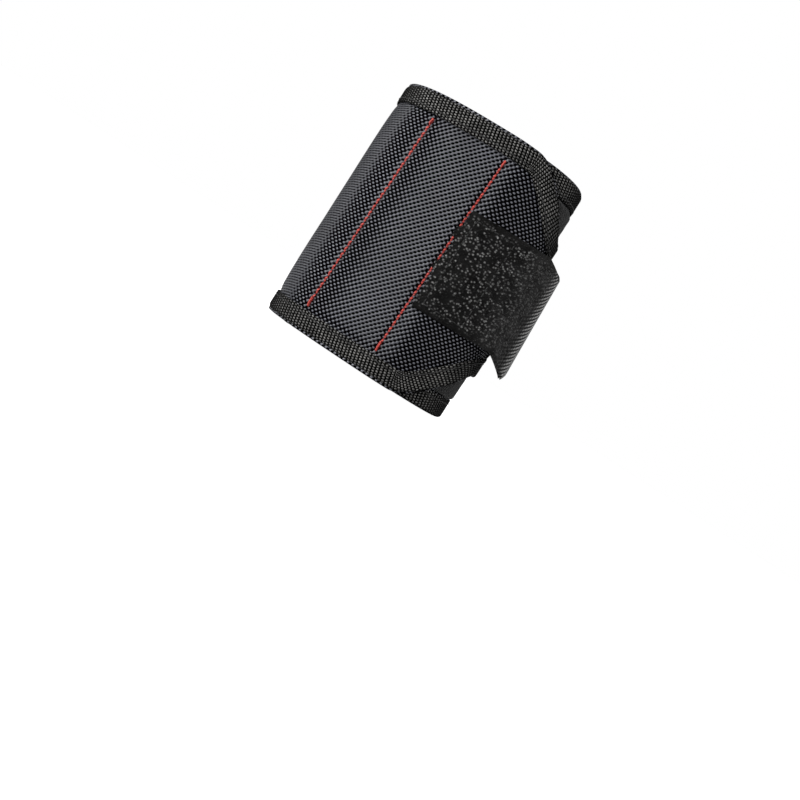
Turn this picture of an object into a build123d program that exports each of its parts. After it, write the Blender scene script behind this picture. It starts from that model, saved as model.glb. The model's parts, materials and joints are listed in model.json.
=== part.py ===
from build123d import *

import os
from math import ceil, floor, hypot

import numpy as np

# Magnetic wrist pin cushion: a padded textile cuff that wraps once round a wrist and laps over itself.
#
# The cuff is drawn as a flat pattern and rolled up. A place on it is given by
#   along  the distance along the band in mm, from the plain end (0) to the tip of the tab,
#   lift   the distance outward from the band's wrist side in mm,
#   z      the height in mm; z = 0 is the edge nearest the hand, and the cuff stands on it.
# The wrist runs along Z through the origin. The pin pockets and the tab face -Y and the loop panel is
# under the tab, so the closing strap leaves the tab at +X.

# ---- driving dimensions, in millimetres ----
BAND_HEIGHT = 90.0  # width of the band across the wrist
WRIST_HALF_WIDTH = 31.2  # half the wrist opening along X where the wrap starts
WRIST_HALF_DEPTH = 20.9  # half the wrist opening along Y where the wrap starts
WRAP_SQUARENESS = 2.5  # superellipse power: 2 is an ellipse, more is squarer
WRAP_PITCH = 2.6  # how far one full turn climbs, so that the tab clears the layer under it
TAB_START_X = 9.0  # X of the last pocket seam, where the tab begins

LOOP_END_LENGTH = 38.0
LOOP_SIDE_LENGTH = 37.0
PALM_LENGTH = 35.0
POCKET_LENGTH = 26.6
POCKET_COUNT = 3
TAB_LENGTH = 50.0

LINING = 0.4
OUTER_FABRIC = 0.6
PAD = 2.4
PAD_MARGIN = 1.5  # from a pocket's seam to its pad
LOOP_PILE = 0.8
LOOP_PANEL_GAP = 0.5  # from the binding to the loop panel
LOOP_PANEL_MARGIN = 12.0  # from the loop panel to the first pocket seam
BINDING = 0.45
BINDING_WIDTH = 7.5
PLY_GAP = 0.05  # space between neighbouring plies
SEAM_GAP = 0.1  # space between neighbouring bodies at a fold
PAD_RAMP = 10.0  # length over which the band thins before the first pad
TAB_RAMP = 16.0  # length over which the band thins past the last pad

TAB_TIP_HALF_WIDTH = 27.0
SHOULDER_START = 7.5  # where the tab starts to narrow, from its seam
SHOULDER_END = 37.0  # where it reaches its tip width

STRAP_WIDTH = 38.0
STRAP_TAPE = 0.8
STRAP_HOOKS = 0.5
STRAP_OFFSET = 0.6  # from the last pocket seam to the strap's cut end
STRAP_SEWN_LENGTH = 20.0  # length of strap sewn flat on the tab
STRAP_BOW_HANDLE = (36.0, 18.0)  # how strongly the strap bows out at each end of its free span
STRAP_LIFT_OFF = 6.0  # degrees by which the strap turns away from the tab where its sewing ends
STRAP_LANDING = 72.0  # where along the band the strap meets the loop panel
STRAP_GRIP_LENGTH = 16.0  # length of strap pressed on the loop panel
STRAP_RISE = 6.0  # how far the strap drifts towards the arm over its free length
GRIPPED_SHARE = 0.6  # the gripped length, where the free span counts as 1
GRIP_GAP = 0.15  # space between the closed strap's hooks and the loop panel
BOW_SHARE = 0.52  # share of the free span that belongs to the strap's root half
FOLD_CLEARANCE = 0.004  # share of the free span left open beside each of the strap's folds
HOOKS_START = 0.18  # share of the free span before the hooks begin

MAGNET_RADIUS = 5.0
MAGNET_THICKNESS = 1.5
MAGNET_ROWS = 5
MAGNET_PITCH = 14.0
MAGNET_CLEARANCE = 0.3  # space round a magnet in its pad
MAGNET_STANDOFF = 0.08  # how far a flat magnet's face stands off the curved lining

THREAD_RADIUS = 0.25
THREAD_GAP = 0.02  # space between a thread and the ply that it lies on
SEAM_MARGIN = 9.0  # from the band's edge to the end of a pocket seam
STRAP_STITCH_INSET = 2.5  # from the sewn strap's edges to its stitching

# ---- how finely curves are drawn ----
START_TURN, END_TURN = -60, 540  # degrees of wrap that are worked out
CURVE_POINTS = 60001
STATION_PITCH = 2.0  # millimetres between the places that every ply's curve passes through
STATION_SPARE = 0.2  # share of a pitch that is kept free beside a ply's ends
FREE_SECTIONS = 25  # sections in each half of the strap's free span
OVERRUN = 1.0  # how far a cut runs past what it cuts

# ---- places along the band ----
LOOP_FOLD = LOOP_END_LENGTH
PALM_START = LOOP_FOLD + LOOP_SIDE_LENGTH
FIRST_SEAM = PALM_START + PALM_LENGTH
POCKET_SEAMS = [FIRST_SEAM + i * POCKET_LENGTH for i in range(POCKET_COUNT + 1)]
TAB_SEAM = POCKET_SEAMS[-1]
BAND_LENGTH = TAB_SEAM + TAB_LENGTH
STRAP_START = TAB_SEAM + STRAP_OFFSET
SEWN_END = STRAP_START + STRAP_SEWN_LENGTH

# ---- heights, and lifts of each ply ----
MID = BAND_HEIGHT / 2
INSIDE = BINDING + PLY_GAP  # from the band's edge to the plies inside the binding
THIN = LINING + PLY_GAP + OUTER_FABRIC  # lining and outer fabric with nothing between
THICK = THIN + PAD + PLY_GAP  # the same with a pad between
PILE_LIFT = THIN + PLY_GAP
PAD_LIFT = LINING + PLY_GAP
MAGNET_LIFT = PAD_LIFT + MAGNET_STANDOFF + MAGNET_THICKNESS / 2
GRIP_LIFT = PILE_LIFT + LOOP_PILE + GRIP_GAP + STRAP_HOOKS + PLY_GAP


def smooth(t):
    """0 before t = 0, 1 after t = 1, and an S-curve between."""
    t = min(max(t, 0.0), 1.0)
    return t * t * (3 - 2 * t)


def body_lift(along):
    """Lift of the outer fabric's outer face: thick over the pockets, thin elsewhere."""
    rise = smooth((along - FIRST_SEAM + PAD_RAMP) / PAD_RAMP)
    fall = smooth((along - TAB_SEAM) / TAB_RAMP)
    return THIN + (THICK - THIN) * (rise - fall)


def fabric_lift(along):
    """Lift of the outer fabric's inner face."""
    return body_lift(along) - OUTER_FABRIC


def tab_half_width(along):
    """Half the tab's width: full at its seam, then a rounded shoulder down to the tip."""
    t = (along - TAB_SEAM - SHOULDER_START) / (SHOULDER_END - SHOULDER_START)
    return MID + (TAB_TIP_HALF_WIDTH - MID) * smooth(t)


def slant(along):
    """How much further a width across the tab's edge reaches in z where the edge slopes."""
    step = 0.5
    slope = (tab_half_width(along + step) - tab_half_width(along - step)) / (2 * step)
    return hypot(1, slope)


# ---- the wrap ----
def wrap_curve(turn_deg):
    """The band's wrist side at an angle from -Y towards +X: a superellipse that climbs as it turns."""
    climb = WRAP_PITCH * turn_deg / 360
    s, c = np.sin(np.radians(turn_deg)), np.cos(np.radians(turn_deg))
    power = 2 / WRAP_SQUARENESS
    x = (WRIST_HALF_WIDTH + climb) * np.sign(s) * np.abs(s) ** power
    y = -(WRIST_HALF_DEPTH + climb) * np.sign(c) * np.abs(c) ** power
    return x, y


TURNS = np.linspace(START_TURN, END_TURN, CURVE_POINTS)
CURVE_X, CURVE_Y = wrap_curve(TURNS)
DISTANCE = np.concatenate([[0], np.cumsum(np.hypot(np.diff(CURVE_X), np.diff(CURVE_Y)))])
LAST_TURN = (TURNS > 360) & (TURNS < 420)
TAB_DISTANCE = np.interp(TAB_START_X, CURVE_X[LAST_TURN], DISTANCE[LAST_TURN])


def tangent_at(along):
    """Unit direction of the band at a place along it."""
    at = along + TAB_DISTANCE - TAB_SEAM
    reach = 0.5
    dx = np.interp(at + reach, DISTANCE, CURVE_X) - np.interp(at - reach, DISTANCE, CURVE_X)
    dy = np.interp(at + reach, DISTANCE, CURVE_Y) - np.interp(at - reach, DISTANCE, CURVE_Y)
    return Vector(float(dx), float(dy)).normalized()


def on_band(along, lift, z=0.0):
    """The point at a place along the band, a lift from its wrist side and a height."""
    at = along + TAB_DISTANCE - TAB_SEAM
    tangent = tangent_at(along)
    x = float(np.interp(at, DISTANCE, CURVE_X)) + tangent.Y * lift
    y = float(np.interp(at, DISTANCE, CURVE_Y)) - tangent.X * lift
    return Vector(x, y, z)


def value(number_or_rule, along):
    """A lift or a height, whether it is a number or a rule that depends on the place."""
    return number_or_rule(along) if callable(number_or_rule) else number_or_rule


def stations(start, end):
    """Both ends and every shared place between, so that neighbouring plies follow the same curve."""
    first = ceil(start / STATION_PITCH + STATION_SPARE)
    last = floor(end / STATION_PITCH - STATION_SPARE)
    return [start] + [i * STATION_PITCH for i in range(first, last + 1)] + [end]


# ---- ways of making a ply ----
def ply(start, end, inner, outer, low, high):
    """A ply of constant height: its outline in plan, extruded along Z."""
    places = stations(start, end)
    inside = [on_band(a, value(inner, a), low) for a in places]
    outside = [on_band(a, value(outer, a), low) for a in places]
    edges = [
        Edge.make_spline(inside),
        Edge.make_line(inside[-1], outside[-1]),
        Edge.make_spline(outside[::-1]),
        Edge.make_line(outside[0], inside[0]),
    ]
    return extrude(Face(Wire(edges)), amount=high - low, dir=(0, 0, 1))


def shaped_ply(start, end, inner, outer, low, high):
    """A ply whose height changes along the band: a loft of its upright sections."""
    sections = []
    for a in stations(start, end):
        bottom, top = value(low, a), value(high, a)
        near, far = value(inner, a), value(outer, a)
        corners = [(near, bottom), (far, bottom), (far, top), (near, top)]
        sections.append(Wire.make_polygon([on_band(a, d, z) for d, z in corners], close=True))
    return Solid.make_loft(sections)


# ---- binding: webbing folded over the band's edge ----
BINDING_INNER = -PLY_GAP - BINDING  # lift of the binding's wrist side


def binding_outer(along):
    """Lift of the binding's outer face."""
    return body_lift(along) + PLY_GAP + BINDING


def channel(start, end, edge_z):
    """Binding folded over the band's edge at z = 0 or z = BAND_HEIGHT: a channel that opens inward."""

    def hollow_outer(a):
        return body_lift(min(max(a, start), end)) + PLY_GAP

    inward = 1 if edge_z == 0 else -1
    low, high = sorted((edge_z, edge_z + inward * BINDING_WIDTH))
    body = ply(start, end, BINDING_INNER, binding_outer, low, high)
    low, high = sorted((edge_z + inward * BINDING, edge_z + inward * (BINDING_WIDTH + OVERRUN)))
    return body - ply(start - OVERRUN, end + OVERRUN, -PLY_GAP, hollow_outer, low, high)


def end_channel(end):
    """Binding round the band's plain end, with its top and bottom runs as one piece."""
    body = ply(0, end, BINDING_INNER, binding_outer, 0, BAND_HEIGHT)
    window = ply(
        BINDING_WIDTH,
        end + OVERRUN,
        BINDING_INNER - OVERRUN,
        lambda a: binding_outer(a) + OVERRUN,
        BINDING_WIDTH,
        BAND_HEIGHT - BINDING_WIDTH,
    )
    hollow = ply(
        BINDING,
        end + OVERRUN,
        -PLY_GAP,
        lambda a: body_lift(a) + PLY_GAP,
        BINDING,
        BAND_HEIGHT - BINDING,
    )
    return body - window - hollow


def tab_shape(start, end, inset, inner, outer):
    """A ply in the tab's outline, with its sloping edges moved inward by an inset."""
    return shaped_ply(
        start,
        end,
        inner,
        outer,
        lambda a: MID - tab_half_width(a) + inset * slant(a),
        lambda a: MID + tab_half_width(a) - inset * slant(a),
    )


def tab_channel(start, end):
    """Binding round the tab: down both shoulders and across the tip."""
    body = tab_shape(start, end, 0, BINDING_INNER, binding_outer)
    window = tab_shape(
        start - OVERRUN,
        end - BINDING_WIDTH,
        BINDING_WIDTH,
        BINDING_INNER - OVERRUN,
        lambda a: binding_outer(a) + OVERRUN,
    )
    hollow = tab_shape(
        start - OVERRUN, end - BINDING, BINDING, -PLY_GAP, lambda a: body_lift(a) + PLY_GAP
    )
    return body - window - hollow


def thread_line(along, lift, low, high):
    """A straight run of sewing thread standing on a ply."""
    foot = on_band(along, lift, low)
    return Pos(foot) * Cylinder(THREAD_RADIUS, high - low, align=(Align.CENTER, Align.CENTER, Align.MIN))


# ---- the strap, where t runs from 0 to 1 over the free span and on over the gripped length ----
STRAP_END = 1 + GRIPPED_SHARE


def strap_lift(along):
    """Lift of the inner face of the strap where it is sewn on the tab."""
    return body_lift(along) + PLY_GAP


def strap_foot(t):
    """The strap's inner face in plan: a cubic curve from the tab to the loop panel, then along the panel."""
    if t > 1:
        return on_band(STRAP_LANDING + STRAP_GRIP_LENGTH * (t - 1) / GRIPPED_SHARE, GRIP_LIFT)
    leave, land = on_band(SEWN_END, strap_lift(SEWN_END)), on_band(STRAP_LANDING, GRIP_LIFT)
    out = leave + tangent_at(SEWN_END).rotate(Axis.Z, -STRAP_LIFT_OFF) * STRAP_BOW_HANDLE[0]
    back = land - tangent_at(STRAP_LANDING) * STRAP_BOW_HANDLE[1]
    a, b, c, d = (1 - t) ** 3, 3 * t * (1 - t) ** 2, 3 * t * t * (1 - t), t**3
    return leave * a + out * b + back * c + land * d


def strap_rise(t):
    """How far the strap has drifted towards the arm."""
    return STRAP_RISE * smooth(t / STRAP_END)


def strap_step(t):
    """A short step along the strap in plan, and how far the strap rises over it."""
    step = 0.01
    before, after = max(t - step, 0), min(t + step, STRAP_END)
    return strap_foot(after) - strap_foot(before), strap_rise(after) - strap_rise(before)


def strap_normal(t):
    step, _ = strap_step(t)
    return Vector(step.Y, -step.X).normalized()


def strap_section(t, inner, outer):
    """The strap's upright section, a little taller where the strap runs uphill."""
    step, climb = strap_step(t)
    half = STRAP_WIDTH / 2 * hypot(1, climb / step.length)
    foot, normal = strap_foot(t) + Vector(0, 0, MID + strap_rise(t)), strap_normal(t)
    corners = [(inner, -half), (outer, -half), (outer, half), (inner, half)]
    return Wire.make_polygon([foot + normal * d + Vector(0, 0, z) for d, z in corners], close=True)


def strap_length(places, inner, outer):
    return Solid.make_loft([strap_section(t, inner, outer) for t in places])


# ---- the pieces ----
def save(name, shape):
    shape.label = name
    export_step(shape, f"parts/{name}.step")


def cloth_plies(name, start, end):
    """The outer fabric and the lining of a length of band."""
    first = start + INSIDE if start == 0 else start
    top = BAND_HEIGHT - INSIDE
    save(f"outer_fabric_{name}", ply(first, end, fabric_lift, body_lift, INSIDE, top))
    save(f"lining_{name}", ply(first, end, 0, LINING, INSIDE, top))


def edge_bindings(name, start, end):
    save(f"hand_binding_{name}", channel(start, end, 0))
    save(f"arm_binding_{name}", channel(start, end, BAND_HEIGHT))


def loop_panel(name, start, end):
    """The loop panel, sewn over the outer fabric where the strap can grip it."""
    low = BINDING_WIDTH + LOOP_PANEL_GAP
    first = start + low if start == 0 else start
    panel = ply(first, end, PILE_LIFT, PILE_LIFT + LOOP_PILE, low, BAND_HEIGHT - low)
    save(f"loop_panel_{name}", panel)


def disc_on_band(along, z, radius, thickness):
    """A flat disc lying on the band, facing outward."""
    tangent = tangent_at(along)
    facing = Vector(tangent.Y, -tangent.X)
    return Plane(on_band(along, MAGNET_LIFT, z), tangent, facing) * Cylinder(radius, thickness)


def pad_and_magnets(number, start, end):
    """A pocket's foam pad and the column of disc magnets set in holes through it."""
    pad = ply(
        start + PAD_MARGIN,
        end - PAD_MARGIN,
        PAD_LIFT,
        PAD_LIFT + PAD,
        SEAM_MARGIN,
        BAND_HEIGHT - SEAM_MARGIN,
    )
    centre = (start + end) / 2
    magnets = []
    for row in range(MAGNET_ROWS):
        z = MID + MAGNET_PITCH * (row - (MAGNET_ROWS - 1) / 2)
        magnets.append(disc_on_band(centre, z, MAGNET_RADIUS, MAGNET_THICKNESS))
        pad -= disc_on_band(centre, z, MAGNET_RADIUS + MAGNET_CLEARANCE, 2 * (PAD + OVERRUN))
    save(f"pad_pocket_{number}", pad)
    save(f"magnets_pocket_{number}", Compound(magnets))


def pocket_thread(number, seam):
    """The stitch line that closes a pocket, seen on both sides of the band."""
    low, high = SEAM_MARGIN, BAND_HEIGHT - SEAM_MARGIN
    beside = SEAM_GAP / 2 + 2 * THREAD_RADIUS
    along = seam + beside if number == 1 else seam - beside
    outer = thread_line(along, body_lift(along) + THREAD_RADIUS + THREAD_GAP, low, high)
    inner = thread_line(along, -THREAD_RADIUS - THREAD_GAP, low, high)
    save(f"pocket_thread_{number}", Compound([outer, inner]))


def tab(start, end):
    """The tab, with the sewn length of the strap and its two rows of stitching."""
    save("outer_fabric_tab", tab_shape(start, end - INSIDE, INSIDE, fabric_lift, body_lift))
    save("lining_tab", tab_shape(start, end - INSIDE, INSIDE, 0, LINING))
    save("binding_tab", tab_channel(start, end))
    low, high = MID - STRAP_WIDTH / 2, MID + STRAP_WIDTH / 2
    sewn = ply(STRAP_START, SEWN_END, strap_lift, lambda a: strap_lift(a) + STRAP_TAPE, low, high)
    save("strap_sewn_tape", sewn)
    threads = []
    for along in (STRAP_START + STRAP_STITCH_INSET, SEWN_END - STRAP_STITCH_INSET):
        lift = strap_lift(along) + STRAP_TAPE + THREAD_RADIUS + THREAD_GAP
        threads.append(thread_line(along, lift, low + STRAP_STITCH_INSET, high - STRAP_STITCH_INSET))
    save("strap_thread", Compound(threads))


def strap():
    """The free strap as two bodies, root and tip, each a tape with hooks on its wrist side."""
    fold_start, fold_end = BOW_SHARE - FOLD_CLEARANCE, BOW_SHARE + FOLD_CLEARANCE
    tip = list(np.linspace(fold_end, 1, FREE_SECTIONS))[:-1]
    for along in stations(STRAP_LANDING, STRAP_LANDING + STRAP_GRIP_LENGTH):
        tip.append(1 + GRIPPED_SHARE * (along - STRAP_LANDING) / STRAP_GRIP_LENGTH)
    tape_bow = np.linspace(FOLD_CLEARANCE, fold_start, FREE_SECTIONS)
    hooks_bow = np.linspace(HOOKS_START, fold_start, FREE_SECTIONS)
    hooks = (-PLY_GAP - STRAP_HOOKS, -PLY_GAP)
    save("strap_bow_tape", strap_length(tape_bow, 0, STRAP_TAPE))
    save("strap_tip_tape", strap_length(tip, 0, STRAP_TAPE))
    save("strap_bow_hooks", strap_length(hooks_bow, *hooks))
    save("strap_tip_hooks", strap_length(tip, *hooks))


def report_joints():
    """Prints the fold lines, which the record's joints stand on."""
    seam_lift = THICK + PLY_GAP + BINDING + PLY_GAP
    panel_lift = PILE_LIFT + LOOP_PILE + PLY_GAP
    strap_side = STRAP_TAPE + PLY_GAP
    for name, at in [
        ("loop_end", on_band(LOOP_FOLD, panel_lift)),
        ("loop_side", on_band(PALM_START, panel_lift)),
        *[(f"seam_{i}", on_band(seam, seam_lift)) for i, seam in enumerate(POCKET_SEAMS, start=1)],
        ("strap_root", strap_foot(0) + strap_normal(0) * strap_side),
        ("strap_tip", strap_foot(BOW_SHARE) + strap_normal(BOW_SHARE) * strap_side),
    ]:
        print(name, round(at.X / 1000, 5), round(at.Y / 1000, 5))


def main():
    os.makedirs("parts", exist_ok=True)
    half_gap = SEAM_GAP / 2

    loop_end = LOOP_FOLD - half_gap
    cloth_plies("loop_end", 0, loop_end)
    loop_panel("loop_end", 0, loop_end)
    save("binding_loop_end", end_channel(loop_end))

    for name, start, end, panel_end in [
        ("loop_side", LOOP_FOLD, PALM_START, PALM_START - half_gap),
        ("palm", PALM_START, FIRST_SEAM, FIRST_SEAM - LOOP_PANEL_MARGIN),
    ]:
        start, end = start + half_gap, end - half_gap
        cloth_plies(name, start, end)
        loop_panel(name, start, panel_end)
        edge_bindings(name, start, end)

    for number, (seam, next_seam) in enumerate(zip(POCKET_SEAMS, POCKET_SEAMS[1:]), start=1):
        start, end = seam + half_gap, next_seam - half_gap
        cloth_plies(f"pocket_{number}", start, end)
        edge_bindings(f"pocket_{number}", start, end)
        pad_and_magnets(number, start, end)

    for number, seam in enumerate(POCKET_SEAMS, start=1):
        pocket_thread(number, seam)

    tab(TAB_SEAM + half_gap, BAND_LENGTH)
    strap()
    report_joints()


main()
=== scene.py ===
"""Looks for the wrist pin cushion: sewn fabric, binding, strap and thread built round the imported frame.

The cuff is one long band rolled once round a wrist. A place on it is given in millimetres by
  along  the distance along the band, from its plain end (0) to the tip of its tab,
  lift   the distance outward from the side that touches the wrist,
  z      the height above the edge nearest the hand.
"""

import json
import math
from functools import partialmethod

import bpy
import numpy as np
from mathutils import Matrix, Vector


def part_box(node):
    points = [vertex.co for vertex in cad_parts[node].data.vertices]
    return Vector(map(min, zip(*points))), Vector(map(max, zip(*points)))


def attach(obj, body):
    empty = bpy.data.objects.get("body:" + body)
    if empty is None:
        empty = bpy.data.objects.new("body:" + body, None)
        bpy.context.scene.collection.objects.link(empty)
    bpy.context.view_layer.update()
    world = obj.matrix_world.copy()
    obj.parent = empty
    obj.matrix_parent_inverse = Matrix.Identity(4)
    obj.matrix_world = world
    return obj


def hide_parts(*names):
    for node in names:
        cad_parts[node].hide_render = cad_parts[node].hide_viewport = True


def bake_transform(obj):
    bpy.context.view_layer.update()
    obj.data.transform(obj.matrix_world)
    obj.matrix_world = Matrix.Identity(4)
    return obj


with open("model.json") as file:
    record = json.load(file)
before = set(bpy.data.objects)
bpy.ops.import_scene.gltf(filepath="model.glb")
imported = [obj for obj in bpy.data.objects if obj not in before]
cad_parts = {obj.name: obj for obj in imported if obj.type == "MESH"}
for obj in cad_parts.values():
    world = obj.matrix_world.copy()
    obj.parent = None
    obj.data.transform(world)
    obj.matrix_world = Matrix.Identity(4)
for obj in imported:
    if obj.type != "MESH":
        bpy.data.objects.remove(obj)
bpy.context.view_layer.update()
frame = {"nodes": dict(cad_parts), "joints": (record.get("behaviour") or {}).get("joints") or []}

MM = 0.001  # metres in a millimetre

# ---- the band's shape, in millimetres: the same driving dimensions as the frame ----
WRIST_HALF_WIDTH, WRIST_HALF_DEPTH = 31.2, 20.9
WRAP_SQUARENESS, WRAP_PITCH = 2.5, 2.6
TAB_START_X = 9.0
TAB_LENGTH = 50.0
THIN, THICK = 1.05, 3.5  # lift of the outer fabric without and with a pad
TAB_SEAM_FROM_END = 189.8  # from the band's plain end to the start of its tab
PLAY = 0.05  # gap left between two layers of cloth
PALM_RAMP, TAB_RAMP = 10.0, 16.0
LINING, OUTER_FABRIC = 0.4, 0.6
BINDING_WIDTH, BINDING = 7.5, 0.45
TAB_TIP_HALF_WIDTH, SHOULDER_START, SHOULDER_END = 27.0, 7.5, 37.0
STRAP_WIDTH, STRAP_TAPE, STRAP_HOOKS = 38.0, 0.8, 0.5
STRAP_SEWN_LENGTH, STRAP_GRIP_LENGTH, STRAP_LANDING = 20.0, 16.0, 72.0
STRAP_BOW_HANDLE, STRAP_LIFT_OFF = (36.0, 18.0), math.radians(6)
STRAP_RISE = 6.0  # how far the strap climbs towards the forearm by its free end
GRIPPED_SHARE = 0.6  # the gripped end's part in that climb, where the bow's is 1
CUT_TUFTS = (10.2, 2.4), (-2.9, 2.0)  # where the cut edge hides the seam: above its middle, half-length
CUT_REACH = 1.5  # how far the cut edge stands out there
STRAP_LEAN = 1.3  # how far the bow's lower edge stands out, and its upper edge in, from its middle
# how the strap's edges rise and dip as it settles: places along it, its lower edge, its upper edge
STRAP_SETTLES = (0.0, 32.0, 44.0, 53.0, 70.0), (1.0, 2.2, -3.9, 1.5, 0.0), (-1.3, 0.9, -3.2, -1.0, 0.0)
GRIP_LIFT = 2.6  # lift of the strap's inner face where it grips the loop panel
HOOKS_START, HOOKS_SHORT = 9.5, 0.4  # how far the hooks begin past the sewn end, and stop short

BAND_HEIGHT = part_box("arm_binding_palm")[1].z / MM
MID = BAND_HEIGHT / 2
ROUND = 2 * math.pi
SIDES = 8  # sides of a thread
STITCH_ARCH, STITCH_DIVE = 1.55, 0.9  # a stitch's height and the depth of its ends, in thread radii


def smooth(t):
    """0 before t = 0, 1 after t = 1, and an S-curve between."""
    t = np.clip(t, 0, 1)
    return t * t * (3 - 2 * t)


def hump(distance, width):
    """1 at no distance, and a smooth fall to either side."""
    return np.exp(-((distance / width) ** 2))


def unit(vectors):
    return vectors / np.maximum(np.linalg.norm(vectors, axis=-1, keepdims=True), 1e-12)


def distances(points):
    """How far along a line of points each of them is."""
    return np.concatenate([[0], np.cumsum(np.linalg.norm(np.diff(points, axis=0), axis=1))])


def paired(a, b):
    """Points of two numbers each, where either of a and b may be a single number."""
    return np.stack(np.broadcast_arrays(a, b), -1)


def level(plan):
    """Vectors in plan with no height added to them."""
    return np.concatenate([plan, np.zeros((len(plan), 1))], 1)


def fold_of(joint_name):
    """Where a joint's fold is in plan, in millimetres."""
    joint = next(j for j in frame["joints"] if j["name"] == joint_name)
    return np.array(joint["pos_m"][:2]) / MM


def ripple(a, b, scale, seed):
    """Gentle unevenness from -1 to 1 over places a and b that repeats nowhere near the size of the cuff."""
    phases = np.random.default_rng(seed).uniform(0, ROUND, 6)
    total = np.sin(a / scale + phases[0]) * np.cos(b / scale * 0.83 + phases[1])
    total = total + np.sin(a / scale * 1.7 + b / scale * 0.6 + phases[2])
    total = total + np.cos(b / scale * 1.9 - a / scale * 0.5 + phases[3])
    return total / 3


# ---- the wrap ----
def wrap_curve(turn):
    """The band's wrist side at an angle from -Y towards +X: a superellipse that climbs as it turns."""
    climb = WRAP_PITCH * turn / ROUND
    s, c = np.sin(turn), np.cos(turn)
    power = 2 / WRAP_SQUARENESS
    x = (WRIST_HALF_WIDTH + climb) * np.sign(s) * np.abs(s) ** power
    y = -(WRIST_HALF_DEPTH + climb) * np.sign(c) * np.abs(c) ** power
    return x, y


TURNS = np.linspace(-ROUND / 6, 1.5 * ROUND, 30001)
CURVE_X, CURVE_Y = wrap_curve(TURNS)
WALKED = distances(paired(CURVE_X, CURVE_Y))
LAST_TURN = (TURNS > ROUND) & (TURNS < 1.17 * ROUND)
TAB_WALKED = float(np.interp(TAB_START_X, CURVE_X[LAST_TURN], WALKED[LAST_TURN]))
PLAIN_END = TAB_WALKED - TAB_SEAM_FROM_END  # where the band's plain end sits on the wrap


def wrap_point(walked):
    return paired(np.interp(walked, WALKED, CURVE_X), np.interp(walked, WALKED, CURVE_Y))


def wrap_normal(walked):
    reach = 0.5
    step = unit(wrap_point(walked + reach) - wrap_point(walked - reach))
    return paired(step[..., 1], -step[..., 0])


def place_of(joint_name):
    """How far along the band, from its plain end, a joint's fold is."""
    walked = np.arange(PLAIN_END, TAB_WALKED + 5, 0.02)
    surface = wrap_point(walked) + wrap_normal(walked) * THICK
    return float(walked[np.argmin(np.linalg.norm(surface - fold_of(joint_name), axis=1))] - PLAIN_END)


SEAMS = [place_of(name) for name in ("seam_1_fold", "seam_2_fold", "seam_3_fold", "tab_lift")]
LOOP_FOLD, PALM_FOLD = place_of("loop_end_fold"), place_of("loop_side_fold")
TAB_SEAM = SEAMS[-1]
BAND_LENGTH = TAB_SEAM + TAB_LENGTH


def on_band(along, lift, z):
    """Points in metres at places on the band."""
    along, lift, z = np.broadcast_arrays(along, lift, z)
    walked = along + PLAIN_END
    xy = wrap_point(walked) + wrap_normal(walked) * lift[..., None]
    return np.concatenate([xy, z[..., None]], -1) * MM


def body_lift(along):
    """Lift of the outer fabric before it is quilted: thick over the pockets, thin elsewhere."""
    rise = smooth((along - SEAMS[0] + PALM_RAMP) / PALM_RAMP)
    fall = smooth((along - TAB_SEAM) / TAB_RAMP)
    return THIN + (THICK - THIN) * (rise - fall)


def half_width(along):
    """Half the band's width: full as far as the tab, then a rounded shoulder down to the tip."""
    t = (along - TAB_SEAM - SHOULDER_START) / (SHOULDER_END - SHOULDER_START)
    return MID + (TAB_TIP_HALF_WIDTH - MID) * smooth(t)


# ---- which stretch of band lies round which fold, between which two bodies ----
BEND_REACH = 5.0  # how far to either side of a fold a zone's start and end points lie
MIDDLES = [(LOOP_FOLD + PALM_FOLD) / 2, (PALM_FOLD + SEAMS[0]) / 2]
MIDDLES += [(a + b) / 2 for a, b in zip(SEAMS, SEAMS[1:])]
ENDS = [0.0] + MIDDLES + [BAND_LENGTH]


class Zone:
    """A stretch of band round one fold, and the two bodies it joins."""

    def __init__(self, index, fold, start_body, end_body, stands_for, backwards=False):
        self.name = end_body
        self.first, self.last = ENDS[index], ENDS[index + 1]
        self.bodies = (start_body, end_body)
        self.stands_for = stands_for
        reach = -BEND_REACH if backwards else BEND_REACH
        self.start = on_band(fold - reach, THICK, MID)
        self.end = on_band(fold + reach, THICK, MID)

    def hold(self, built):
        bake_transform(built)

    def place(self, layer, piece, slot):
        """Puts the zone's piece of a layer in place of that layer's CAD nodes."""
        nodes = [f"{layer}_{body}" for body in self.stands_for]
        self.hold(place(piece, slot, *(node for node in nodes if node in frame["nodes"])))


ZONES = [
    Zone(0, LOOP_FOLD, "loop_side", "loop_end", ["loop_end"], backwards=True),
    Zone(1, PALM_FOLD, "palm", "loop_side", ["loop_side"], backwards=True),
    Zone(2, SEAMS[0], "palm", "pocket_1", ["palm", "pocket_1"]),
    Zone(3, SEAMS[1], "pocket_1", "pocket_2", ["pocket_2"]),
    Zone(4, SEAMS[2], "pocket_2", "pocket_3", ["pocket_3"]),
    Zone(5, SEAMS[3], "pocket_3", "tab", ["tab"]),
]


def stations(start, end, spacing=0.8):
    """Places along the band, closer together beside the seams, with every zone's ends among them."""
    close = [np.arange(s - 3.3, s + 2.7, 0.3) for s in SEAMS]
    places = np.concatenate([np.arange(start, end, spacing), *close])
    fixed = np.array([e for e in ENDS if start <= e <= end] + [start, end])
    places = places[(places > start) & (places < end)]
    gap = np.abs(places[:, None] - fixed[None]).min(1)
    places = np.unique(np.concatenate([places[gap > 0.15], fixed]))
    keep = np.concatenate([[True], np.diff(places) > 0.05])
    return places[keep]


# ---- meshes ----
def added(name, data):
    """A new object in the scene."""
    item = bpy.data.objects.new(name, data)
    bpy.context.scene.collection.objects.link(item)
    return item


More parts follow.
